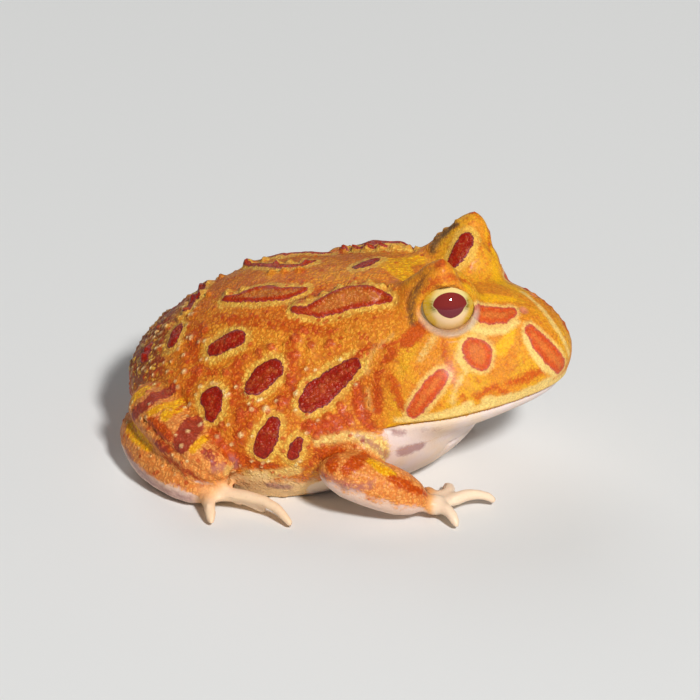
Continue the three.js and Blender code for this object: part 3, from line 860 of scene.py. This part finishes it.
def raiseWart(centre, radius, height, tips, tipShare):
    for place, near, distance in pointTree.find_range(Vector(centre), radius):
        share = 1 - distance / radius
        rise = height * share * share * (3 - 2 * share)
        lift[near] = max(lift[near], rise)
        tips[near] = max(tips[near], share * tipShare)


for name, (height, tipShare, spots) in placedWarts.items():
    for u, v, r in spots:
        seen = onSkin(u, v)
        other = nearestOnSkin([seen * otherSide])[0]
        for centre in [seen] if name.startswith("far") else [seen, other]:
            tips = wartTip if tipShare else wartRed
            raiseWart(centre, r * wartSizes["foot"] / view["pixelsPerMm"], height, tips, tipShare or 1.0)


def scatterWarts(count, radii, heights, seed, weights, tips, tipShare):
    picker = np.random.default_rng(seed)
    chosen = picker.choice(len(places), size=count, replace=False, p=weights / weights.sum())
    for index in chosen:
        raiseWart(places[index], picker.uniform(*radii), picker.uniform(*heights), tips, tipShare)


grainy = (1 - pale) * (1 - digits) * (1 - ramp(x, *wartSizes["neckEnd"]))
grainy = grainy * np.where(nearest < 0, wartSizes["onMarks"], 1.0) + wartSizes["least"]
onNet = grainy * (wartSizes["offNet"] + painted["net"])
scatterWarts(*wartSizes["medium"], onNet, wartRed, wartSizes["mediumRed"])
away, width, weight = wartSizes["ring"]
ring = fade(nearest - away, width) * weight + rumpShadeZone * wartSizes["rear"] + wartSizes["elsewhere"]
ring = grainy * ring * (z < wartSizes["largeBelow"])
scatterWarts(*wartSizes["large"], ring, wartTip, wartSizes["largeTip"])
steps = plateau["combSteps"] * noiseAt(plateau["stepSize"], plateau["stepSeed"])
lift += (1 - ramp(raised, *plateau["weltEdge"])) * (plateau["welt"] + steps)
lift += (1 - ramp(blotch, *plateau["blotchEdge"])) * plateau["blotch"]
places = places + normals * (lift - creaseDepth - digits * digitThinner)[:, None]
nostril = {
    "pixel": (523.4, 310.7),
    # mm
    "pit": (0.42, 0.5),  # radius, depth
    "ring": (0.62, 0.3, 0.12),  # radius, half width, rise
}


def shapeNostrils(places):
    seen = onSkin(*nostril["pixel"])
    radius, depth = nostril["pit"]
    middle, width, rise = nostril["ring"]
    for centre in (seen, seen * otherSide):
        away = np.linalg.norm(places - centre, axis=1)
        places = places + normals * (fade(away - middle, width) * rise - fade(away, radius) * depth)[:, None]
    nearSide, farSide = (np.linalg.norm(places * side - seen, axis=1) for side in (1, otherSide))
    return places, np.minimum(nearSide, farSide)


places, nostrilAway = shapeNostrils(places)
places[:, 2] = np.maximum(places[:, 2], 0.0)
setPlaces(skin, places)
print("warts raised")

# What the material reads at each point of the skin
distanceMost = 3  # mm
marks = {
    "blotch": np.clip(blotch, -distanceMost, distanceMost),
    "raised": np.clip(raised, -distanceMost, distanceMost),
    "face": np.clip(face, -distanceMost, distanceMost),
    **painted,
    "pale": pale,
    "lowFlank": lowFlank,
    "digits": digits,
    "toes": digits * leg,
    "arm": arm,
    "rumpShadeZone": rumpShadeZone,
    "head": head,
    "limbs": limbs,
    "wartTip": wartTip,
    "wartRed": wartRed,
    "mouthSide": np.clip(mouthSide, -distanceMost, distanceMost),
    "lidRim": lidRim,
    "creaseShade": creaseShade,
    "nostrilAway": np.clip(nostrilAway, 0, distanceMost),
}


def setAttribute(piece, name, values):
    attribute = piece.data.attributes.new(name, "FLOAT", "POINT")
    attribute.data.foreach_set("value", np.asarray(values, np.float32))


for name, values in marks.items():
    setAttribute(skin, name, values)

# Moist granular amphibian skin: small close grains that each catch a soft light under a thin wet film
skinColours = {
    "gold": "#E4962A",
    "orange": "#D87A1E",
    "headGold": "#E08E22",
    "headYellow": "#E4A422",
    "headOrange": "#D26C1C",
    "armOrange": "#E8984A",
    "yellow": "#F2B416",
    "net": "#C8560E",
    "deep": "#A8432A",
    "halo": "#EBBC50",
    "cream": "#F0CE78",
    # painted shade of the rump, darker than its own colour, which is like the flank's
    "rear": "#8A3E26",
    "rearGrain": "#D9A840",
    # painted shade behind the eye and brow and on the horn's rear side
    "paintedShade": "#6E5030",
    "edge": "#7A3438",
    "core": "#9E200C",
    "coreMiddle": "#AC3A14",
    "coreGrain": "#BC6430",
    "welt": "#C4742E",
    "weltRim": "#B43A12",
    "weltEdge": "#96464A",
    "spot": "#D2501A",
    "spotMiddle": "#D8742E",
    "spotRim": "#BC5A4C",
    "wartRed": "#C64A1A",
    "wartTop": "#EE8A3C",
    "tip": "#F6DA9C",
    # painted shade in the grooves between the grains
    "groove": "#D09050",
    "pale": "#E6D4CE",
    "paleWarm": "#EAD0B4",
    "lowFlank": "#F0CC90",
    "palePink": "#E6B898",
    "digit": "#F0D4B6",
    "toe": "#EAC49A",
    "wrist": "#E8A868",
    "mauve": "#965F62",
    "lip": "#E8A810",
    "mouth": "#8A5A20",
    "lidRim": "#B9A592",
    # painted shade in the creases
    "creaseShade": "#7A3418",
    "nostril": "#C9785C",
}
grainSizes = {  # mm
    "grain": 0.4,
    "headGrain": 0.3,
    "wart": 0.95,
    "patch": 4.5,
    "mottle": 0.55,
    "speckle": 0.22,
    "pore": 0.16,  # real pores are finer, these are as coarse as they need to be to show
    "uneven": 0.7,  # how far the cells are pushed about, so that no two grains are alike
}
# Where a change starts and ends, then what is given there where it isn't 0 and 1
skinBands = {
    # from the middle of a grain or wart to its rim
    "dome": (0.1, 0.62, 1.0, 0.0),
    "groove": (0.3, 0.62),
    "wartDome": (0.0, 0.42, 1.1, 0.0),
    # by the noise of the patches and of the mottle
    "gold": (0.35, 0.65),
    "headYellow": (0.42, 0.62),
    "headOrange": (0.5, 0.68, 0.0, 0.6),
    "spotMottle": (0.45, 0.65, 0.0, 0.6),
    "paleWarm": (0.35, 0.7),
    "roughness": (0.3, 0.7, 0.5, 0.64),
    # by the tint that each grain or wart has of its own
    "rearGrain": (0.7, 0.78),
    "coreGrain": (0.6, 0.9, 0.0, 0.4),
    "isWart": (0.5, 0.6),
    "grainValue": (0.25, 0.75, 0.84, 1.14),
    # mm outside the edge of a mark
    "halo": (0.45, 1.0, 0.9, 0.0),
    "faceHalo": (0.15, 0.7, 0.7, 0.0),
    "core": (-1.3, -0.6),
    "coreEdge": (-0.22, -0.05, 0.0, 0.85),
    "weltRim": (-0.75, -0.3),
    "weltEdge": (-0.16, -0.04, 0.0, 0.7),
    "spot": (-1.0, -0.45),
    "spotRim": (-0.3, -0.02, 0.0, 0.8),
    "onMark": (-0.02, 0.05, 1.0, 0.0),
    "onSpot": (-0.08, 0.12, 1.0, 0.0),
    "markShine": (-0.2, 0.1),
    # by a painted share
    "bright": (0.3, 0.7),
    "net": (0.2, 0.95),
    "deep": (0.3, 0.7),
    "cream": (0.15, 0.8),
    "paintedShade": (0.1, 0.9),
    "mauve": (0.1, 0.9),
    "lowFlank": (0.2, 0.9),
    "pale": (0.25, 0.75),
    "wartRed": (0.15, 0.5, 0.0, 0.75),
    "wartTop": (0.55, 0.95, 0.0, 0.8),
    "tip": (0.3, 0.8, 0.0, 0.85),
    "digitEnd": (0.5, 1.0),
    "digits": (0.05, 0.6),
    # mm above the line of the mouth, or away from it
    "lipTop": (0.3, 0.42, 1.0, 0.0),
    "lipFoot": (-0.02, 0.06),
    "mouthLine": (0.05, 0.13, 1.0, 0.0),
    # mm from the middle of a nostril, and by the share of painted shade in a crease
    "nostril": (0.3, 0.75, 0.8, 0.0),
    "creaseShade": (0.45, 1.0, 0.0, 0.3),
    # values on the body and on the head, on rough skin and on smooth
    "grainStrength": (0.0, 1.0, 0.55, 0.2),
    "domeRise": (0.0, 1.0, 0.85, 0.5),
    "mottleRise": (0.0, 1.0, 0.9, 0.1),
}
skinShares = {
    "raggedByMottle": (-0.5, 0.3),  # middle taken off, mm of push
    "raggedByGrain": (-0.35, 0.22),
    "raggedPaint": 1.6,  # painted edges are this many times as ragged
    # how much of the rump's painted shade is laid over
    "rear": 0.85,
    "speckle": 0.75,
    "grainTint": 0.25,
    "palePink": 0.6,
    "lowFlank": 0.8,
    "toe": 0.6,
    "mauve": 0.7,
    "lip": 0.85,
    "mouth": 0.85,
    "lidRim": 0.75,
    "smoothDome": 0.08,
    "pores": 0.3,
    "armRoughness": 0.34,  # wetter than the body
    "markRoughness": 0.36,
    "bumpDistance": 0.09,  # mm
    "bump": 0.85,
}


def makeSkinMaterial():
    material, shader, colours, add = startMaterial("moistGranularSkin", skinColours)
    bands, shares = skinBands, skinShares
    laid = {name: add("attribute", attribute_name=name) for name in marks}
    head, pale, digits = laid["head"], laid["pale"], laid["digits"]

    place = add("place")
    reach = grainSizes["uneven"] * mm
    drift = add("noise", place, 1 / (grainSizes["mottle"] * mm)).node.outputs["Color"]
    unevenPlace = add("movePlace", drift, (reach, reach, reach), place)
    grains, headGrains, warts = (
        add("cells", unevenPlace, 1 / (grainSizes[name] * mm)) for name in ("grain", "headGrain", "wart")
    )
    grainAway = add("ease", head, 0.0, 1.0, grains, headGrains)
    grainColour = add("mix", head, grains.node.outputs["Color"], headGrains.node.outputs["Color"])
    tints = add("splitColour", grainColour).node.outputs
    wartTint = add("splitColour", warts.node.outputs["Color"])
    patches, mottle, speckle, pores = (
        add("noise", place, 1 / (grainSizes[name] * mm), detail)
        for name, detail in (("patch", 2.0), ("mottle", 3.0), ("speckle", 1.0), ("pore", 1.0))
    )
    ragged = add(
        "plus",
        add("times", add("plus", mottle, shares["raggedByMottle"][0]), shares["raggedByMottle"][1]),
        add("times", add("plus", grainAway, shares["raggedByGrain"][0]), shares["raggedByGrain"][1]),
    )
    raggedPaint = add("times", ragged, shares["raggedPaint"])

    # painted patches with edges that follow the grains
    paints = {
        name: add("ease", add("plus", laid[name], raggedPaint), *bands[name])
        for name in ("bright", "net", "deep", "cream", "paintedShade", "mauve", "lowFlank", "pale")
    }
    blotchEdge = add("plus", laid["blotch"], ragged)
    raisedEdge = add("plus", laid["raised"], ragged)
    spotEdge = add("plus", laid["face"], ragged)
    nearest = add("lesser", blotchEdge, raisedEdge)

    ground = add("mix", add("ease", patches, *bands["gold"]), colours["orange"], colours["gold"])
    headShare = add("ease", patches, *bands["headYellow"])
    headGround = add("mix", headShare, colours["headGold"], colours["headYellow"])
    headGround = add("mix", add("ease", mottle, *bands["headOrange"]), headGround, colours["headOrange"])
    # painted shade on the rump, with the rump's own yellow granules showing through it
    rumpShadeMix = add("mix", add("ease", tints[0], *bands["rearGrain"]), colours["rear"], colours["rearGrain"])
    # laid one over another
    for share, over in (
        (head, headGround),
        (laid["limbs"], colours["armOrange"]),
        (paints["bright"], colours["yellow"]),
        (add("ease", nearest, *bands["halo"]), colours["halo"]),
        (add("ease", spotEdge, *bands["faceHalo"]), colours["cream"]),
        (paints["net"], colours["net"]),
        (paints["deep"], colours["deep"]),
        (paints["cream"], colours["cream"]),
        # painted shade over the rump
        (add("times", laid["rumpShadeZone"], shares["rear"]), rumpShadeMix),
        (add("ease", laid["wartRed"], *bands["wartRed"]), colours["wartRed"]),
        (add("ease", laid["wartRed"], *bands["wartTop"]), colours["wartTop"]),
        (add("ease", laid["wartTip"], *bands["tip"]), colours["tip"]),
        # painted shade behind the eye and brow and on the horn's rear side
        (paints["paintedShade"], colours["paintedShade"]),
    ):
        ground = add("mix", share, ground, over)

    # blotches of the flanks, welts of the back and spots of the head
    core = add("mix", add("ease", blotchEdge, *bands["core"]), colours["coreMiddle"], colours["core"])
    core = add("mix", add("ease", tints[1], *bands["coreGrain"]), core, colours["coreGrain"])
    core = add("mix", add("ease", blotchEdge, *bands["coreEdge"]), core, colours["edge"])
    welt = add("mix", add("ease", raisedEdge, *bands["weltRim"]), colours["welt"], colours["weltRim"])
    welt = add("mix", add("ease", raisedEdge, *bands["weltEdge"]), welt, colours["weltEdge"])
    spot = add("mix", add("ease", spotEdge, *bands["spot"]), colours["spotMiddle"], colours["spot"])
    spot = add("mix", add("ease", mottle, *bands["spotMottle"]), spot, colours["spotMiddle"])
    spot = add("mix", add("ease", spotEdge, *bands["spotRim"]), spot, colours["spotRim"])
    colour = add("mix", add("ease", blotchEdge, *bands["onMark"]), ground, core)
    colour = add("mix", add("ease", raisedEdge, *bands["onMark"]), colour, welt)
    colour = add("mix", add("ease", spotEdge, *bands["onSpot"]), colour, spot)

    # each grain a little different, with painted shade in the grooves between them
    tint = add("plus", add("times", speckle, shares["speckle"]), add("times", tints[2], shares["grainTint"]))
    colour = add("brighten", add("ease", tint, *bands["grainValue"]), colour)
    groove = add("ease", grainAway, *bands["groove"])
    groove = add("times", groove, add("ease", head, *bands["grainStrength"]))
    colour = add("mix", groove, colour, colours["groove"], blend_type="MULTIPLY")

    # pale underside, hands and feet, the mouth and the lids
    paleColour = add("mix", add("ease", patches, *bands["paleWarm"]), colours["pale"], colours["paleWarm"])
    paleColour = add("mix", add("times", laid["limbs"], shares["palePink"]), paleColour, colours["palePink"])
    digitColour = add("mix", add("ease", digits, *bands["digitEnd"]), colours["wrist"], colours["digit"])
    digitColour = add("mix", add("times", laid["toes"], shares["toe"]), digitColour, colours["toe"])
    mouthSide = laid["mouthSide"]
    lip = add("times", add("ease", mouthSide, *bands["lipTop"]), add("ease", mouthSide, *bands["lipFoot"]))
    mouthAway = add("unsigned", add("plus", mouthSide, mouthSizes["colourDown"]))
    for share, over in (
        (add("times", paints["lowFlank"], shares["lowFlank"]), colours["lowFlank"]),
        (paints["pale"], paleColour),
        (add("ease", digits, *bands["digits"]), digitColour),
        (add("times", paints["mauve"], shares["mauve"]), colours["mauve"]),
        (add("times", lip, shares["lip"]), colours["lip"]),
        (add("times", add("ease", mouthAway, *bands["mouthLine"]), shares["mouth"]), colours["mouth"]),
        (add("times", laid["lidRim"], shares["lidRim"]), colours["lidRim"]),
        (add("ease", laid["nostrilAway"], *bands["nostril"]), colours["nostril"]),
        # painted shade in the creases
        (add("ease", laid["creaseShade"], *bands["creaseShade"]), colours["creaseShade"]),
    ):
        colour = add("mix", share, colour, over)

    # grains and pores as relief, low on the smooth skin below
    smooth = add("greater", pale, digits)
    domeRise = add("ease", smooth, 0.0, 1.0, add("ease", head, *bands["domeRise"]), shares["smoothDome"])
    height = add("times", add("ease", grainAway, *bands["dome"]), domeRise)
    height = add("plus", height, add("times", mottle, add("ease", smooth, *bands["mottleRise"])))
    isWart = add("ease", wartTint, *bands["isWart"])
    wartHeight = add("times", add("ease", warts, *bands["wartDome"]), isWart)
    for share in (head, smooth):
        wartHeight = add("times", wartHeight, add("plus", add("times", share, -1.0), 1.0))
    height = add("plus", height, wartHeight)
    height = add("plus", height, add("times", pores, shares["pores"]))
    bump = add("bump", height, shares["bumpDistance"] * mm, shares["bump"])
    roughness = add("ease", mottle, *bands["roughness"])
    roughness = add("ease", laid["arm"], 0.0, 1.0, roughness, shares["armRoughness"])
    roughness = add("ease", nearest, *bands["markShine"], shares["markRoughness"], roughness)
    for socket, value in {"Base Color": colour, "Normal": bump, "Roughness": roughness}.items():
        material.node_tree.links.new(value, shader.inputs[socket])
    for socket, value in {
        "IOR": 1.4,
        "Specular IOR Level": 0.28,
        "Subsurface Weight": 0.06,
        "Subsurface Radius": (1.0, 0.4, 0.2),
        "Subsurface Scale": 0.5 * mm,
        "Coat Weight": 0.06,
        "Coat Roughness": 0.22,
    }.items():
        shader.inputs[socket].default_value = value
    return material


skin.data.materials.append(makeSkinMaterial())
pick(skin)
bpy.ops.object.shade_smooth()
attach(skin, "root")
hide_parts(*fleshNodes)
print("skin painted", sum(len(p.vertices) - 2 for p in skin.data.polygons), "triangles")

# A wet eye: a clear film over a matt iris gives one small sharp light
irisColours = {
    "pupil": "#7C2420",
    "pupilLow": "#6A1E28",
    "iris": "#DECB84",
    "irisLow": "#E6C294",
    "olive": "#6E5E10",
    "gold": "#D2A61E",
    "ring": "#6E5A20",
    "limbus": "#A8A484",
    "white": "#E0CCAE",
}
irisSizes = {
    "pupil": (1.86, 1.42),  # half width and half height, mm
    "pupilPoint": 0.2,  # how far the underside draws to a point
    "iris": 2.82,
    "corneaStart": 2.2,
    "corneaRise": 0.05,
    "streaks": (6.0, 0.6),  # how fast they change round the eye, and outwards
    "streakScale": 2.0,
    "streakDetail": 3.0,
}
# Where a change starts and ends, then what is given there where it isn't 0 and 1, mostly in mm
irisBands = {
    "pupilFoot": (-0.5, 0.1, irisSizes["pupilPoint"], 0.0),
    "irisLow": (-1.6, 0.4),
    "level": (0.25, 1.0, 1.0, 0.0),
    "sideways": (1.0, 1.9),
    "oliveStreaks": (0.3, 0.6, 0.4, 1.0),
    "oliveWithin": (2.65, 2.4),
    "goldBeyond": (1.8, 2.4),
    "goldStreaks": (0.3, 0.7, 0.75, 1.0),
    "goldSideways": (0.0, 1.0, 0.45, 1.0),
    "pupilHalo": (1.0, 1.1, 0.5, 0.0),
    "limbus": (-2.6, -1.4),
    "irisEdge": (irisSizes["iris"] - 0.03, irisSizes["iris"] + 0.05),
    "ring": (0.02, 0.08, 0.6, 0.0),
    "pupilLow": (-0.7, 0.1),
    "pupilEdge": (0.98, 1.02),
}


def makeEyeMaterial():
    material, shader, colours, add = startMaterial("wetEye", irisColours)
    bands = irisBands
    across, upward = add("splitPlace", add("eyeMap")).node.outputs[:2]

    def lengthOf(a, b):
        return add("root", add("plus", add("times", a, a), add("times", b, b)))

    radius = lengthOf(across, upward)
    wide = add("over", across, irisSizes["pupil"][0])
    high = add("over", upward, irisSizes["pupil"][1])
    # flatter above and pointed below
    point = add("times", add("unsigned", wide), add("ease", upward, *bands["pupilFoot"]))
    pupil = add("plus", lengthOf(wide, high), point)
    roundEye, outwards = irisSizes["streaks"]
    direction = add("direction", upward, across)
    streakPlace = add("joinPlace", add("times", direction, roundEye), add("times", radius, outwards))
    streaks = add("noise", streakPlace, irisSizes["streakScale"], irisSizes["streakDetail"])

    # olive and gold lie mostly at the two ends of the pupil
    level = add("ease", add("unsigned", upward), *bands["level"])
    sideways = add("ease", add("unsigned", across), *bands["sideways"])
    olive = add("times", level, add("ease", streaks, *bands["oliveStreaks"]))
    olive = add("times", olive, add("ease", radius, *bands["oliveWithin"]))
    olive = add("times", olive, sideways)
    gold = add("ease", radius, *bands["goldBeyond"])
    gold = add("times", gold, add("ease", streaks, *bands["goldStreaks"]))
    gold = add("times", gold, add("ease", sideways, *bands["goldSideways"]))
    beyond = add("mix", add("ease", upward, *bands["limbus"]), colours["white"], colours["limbus"])
    ringAway = add("unsigned", add("minus", radius, irisSizes["iris"]))
    colour = add("mix", add("ease", upward, *bands["irisLow"]), colours["irisLow"], colours["iris"])
    for share, over in (
        (olive, colours["olive"]),
        (gold, colours["gold"]),
        (add("ease", pupil, *bands["pupilHalo"]), colours["iris"]),
        (add("ease", radius, *bands["irisEdge"]), beyond),
        (add("ease", ringAway, *bands["ring"]), colours["ring"]),
    ):
        colour = add("mix", share, colour, over)
    inside = add("mix", add("ease", upward, *bands["pupilLow"]), colours["pupilLow"], colours["pupil"])
    colour = add("mix", add("ease", pupil, *bands["pupilEdge"]), inside, colour)
    material.node_tree.links.new(colour, shader.inputs["Base Color"])
    for socket, value in {
        "Roughness": 0.8,
        "Specular IOR Level": 0.1,
        "Coat Weight": 1.0,
        "Coat Roughness": 0.03,
        "Coat IOR": 1.376,  # cornea
    }.items():
        shader.inputs[socket].default_value = value
    return material


def makeEye(side, name, material):
    centre, look, level, upright = eyeFrame(side, "look")
    deselectAll()
    segments, rings = eyeSizes["mesh"]
    bpy.ops.mesh.primitive_uv_sphere_add(segments=segments, ring_count=rings, radius=eyeSizes["radius"] * mm)
    eye = bpy.context.object
    eye.name = eye.data.name = name
    pole = np.array([v.co for v in eye.data.vertices]) / mm
    bulge = ramp(pole[:, 2], irisSizes["corneaStart"], eyeSizes["radius"]) * irisSizes["corneaRise"]
    pole *= (1 + bulge / eyeSizes["radius"])[:, None]  # the cornea stands a little proud
    setPlaces(eye, centre + pole[:, :1] * level + pole[:, 1:2] * upright + pole[:, 2:] * look)
    for old in list(eye.data.uv_layers):
        eye.data.uv_layers.remove(old)
    uv = eye.data.uv_layers.new(name="eye")
    farOut = (9, 9)  # mm, well off the iris
    for loop in eye.data.loops:
        spot = pole[loop.vertex_index]
        uv.data[loop.index].uv = (spot[0], spot[1]) if spot[2] > 0 else farOut
    pick(eye)
    bpy.ops.object.mode_set(mode="EDIT")
    bpy.ops.mesh.select_all(action="SELECT")
    bpy.ops.mesh.normals_make_consistent(inside=False)
    bpy.ops.object.mode_set(mode="OBJECT")
    bpy.ops.object.shade_smooth()
    eye.data.materials.append(material)
    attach(eye, "root")
    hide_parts(name.replace("eyeball", "eye"))


eyeMaterial = makeEyeMaterial()
makeEye(-1, "eyeball_right", eyeMaterial)
makeEye(1, "eyeball_left", eyeMaterial)
print("eyes made")

# Floor, light and backdrop
stage = {
    "floor": 3.0,
    "floorColour": "#E8E8E6",
    "roughness": 0.9,  # matt paper scatters light evenly
    "world": "#E8ECF0",
    "worldLight": 0.11,
    "aim": (0, 0, 0.01),
}
lights = {
    # name: (place and size in m, power)
    "key": ((0.94, -1.24, 1.26), 0.22, 43),
    "fill": ((-1.0, 1.25, 1.2), 1.2, 8),
}


def makeStage():
    deselectAll()
    bpy.ops.mesh.primitive_plane_add(size=stage["floor"])
    floor = bpy.context.object
    floor.name = "floor"
    material, shader, colours, add = startMaterial("mattPaper", {"paper": stage["floorColour"]})
    shader.inputs["Base Color"].default_value = colours["paper"]
    shader.inputs["Roughness"].default_value = stage["roughness"]
    floor.data.materials.append(material)
    world = bpy.data.worlds.new("studio")
    world.use_nodes = True
    background = world.node_tree.nodes["Background"]
    background.inputs["Color"].default_value = toLinear(stage["world"])
    background.inputs["Strength"].default_value = stage["worldLight"]
    bpy.context.scene.world = world


def makeLight(name, place, size, power):
    data = bpy.data.lights.new(name, "AREA")
    data.size = size
    data.energy = power
    light = bpy.data.objects.new(name, data)
    bpy.context.scene.collection.objects.link(light)
    light.location = place
    light.rotation_euler = (Vector(stage["aim"]) - Vector(place)).to_track_quat("-Z", "Y").to_euler()


makeStage()
for name, (place, size, power) in lights.items():
    makeLight(name, place, size, power)
bpy.context.scene.view_settings.view_transform = "Standard"
print("stage lit")
